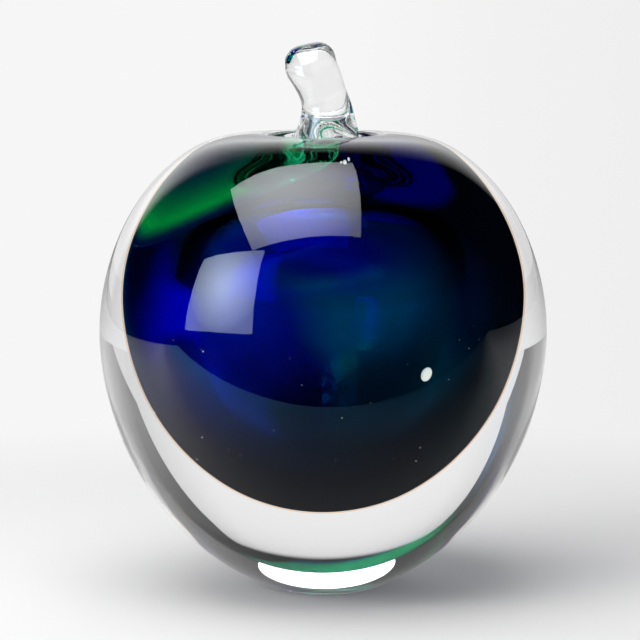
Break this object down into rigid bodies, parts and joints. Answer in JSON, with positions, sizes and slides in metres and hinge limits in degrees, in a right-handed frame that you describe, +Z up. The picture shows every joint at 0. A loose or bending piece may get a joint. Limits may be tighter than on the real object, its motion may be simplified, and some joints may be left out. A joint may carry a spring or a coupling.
{
  "type": "art glass apple",
  "caption": "Solid cased glass apple with a sealed blue and green bubble inside clear glass, a polished flat base and a clear bent stem",
  "frame": {"origin": "centre of the polished flat on the base, which is also the middle of the underside", "axes": "+Z up through the stem, -Y towards the viewer of the picture, +X to the viewer's right; the stem bends towards -X"},
  "size_m": [0.13, 0.13, 0.1589],
  "materials": {
    "clear_glass": "fire-polished clear soda glass, flat ground and polished",
    "blue_glass": "transparent cobalt blue glass, glossy",
    "green_glass": "transparent emerald green glass, glossy"
  },
  "bodies": {
    "root": {"outer_gather": "clear_glass", "inner_gather": "clear_glass", "blue_underlay": "blue_glass", "green_underlay": "green_glass", "stem": "clear_glass"}
  },
  "joints": []
}
